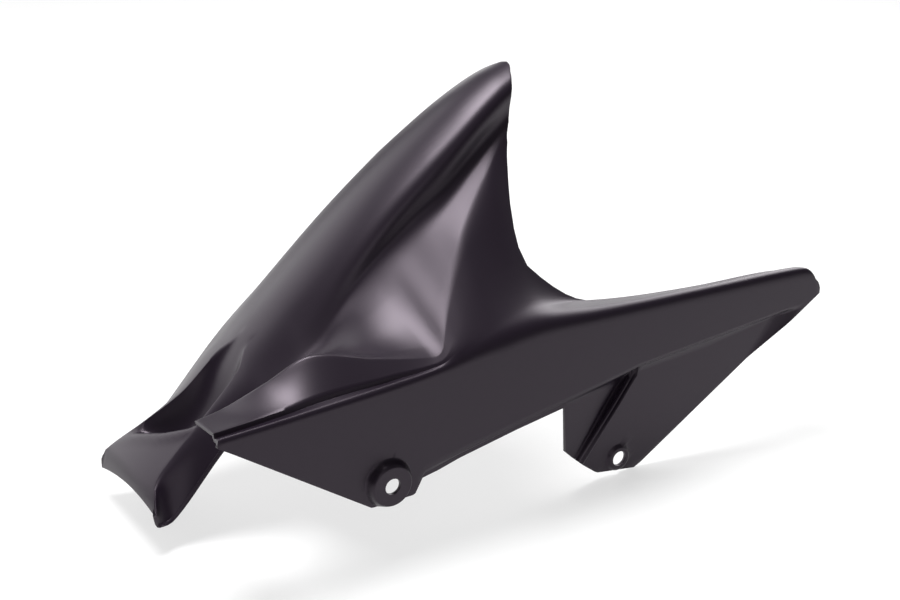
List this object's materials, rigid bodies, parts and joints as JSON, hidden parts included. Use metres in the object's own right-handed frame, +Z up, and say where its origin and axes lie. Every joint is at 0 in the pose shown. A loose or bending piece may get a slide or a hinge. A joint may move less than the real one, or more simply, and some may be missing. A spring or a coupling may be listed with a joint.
{
  "type": "motorcycle rear fender",
  "caption": "Moulded rear fender for a motorcycle: a fin over the tyre with a chain guard down one side, held by two bolts.",
  "frame": {"origin": "centre of the front bolt hole, in the outer face of its boss", "axes": "+X to the rear of the motorcycle, +Y to its right side (inwards from the guard panel), +Z up, as it sits on the bike"},
  "size_m": [0.563, 0.2292, 0.3105],
  "materials": {
    "shell": "satin black moulded plastic with a faint fine grain"
  },
  "bodies": {
    "root": {"rear_fender": "shell"}
  },
  "joints": []
}
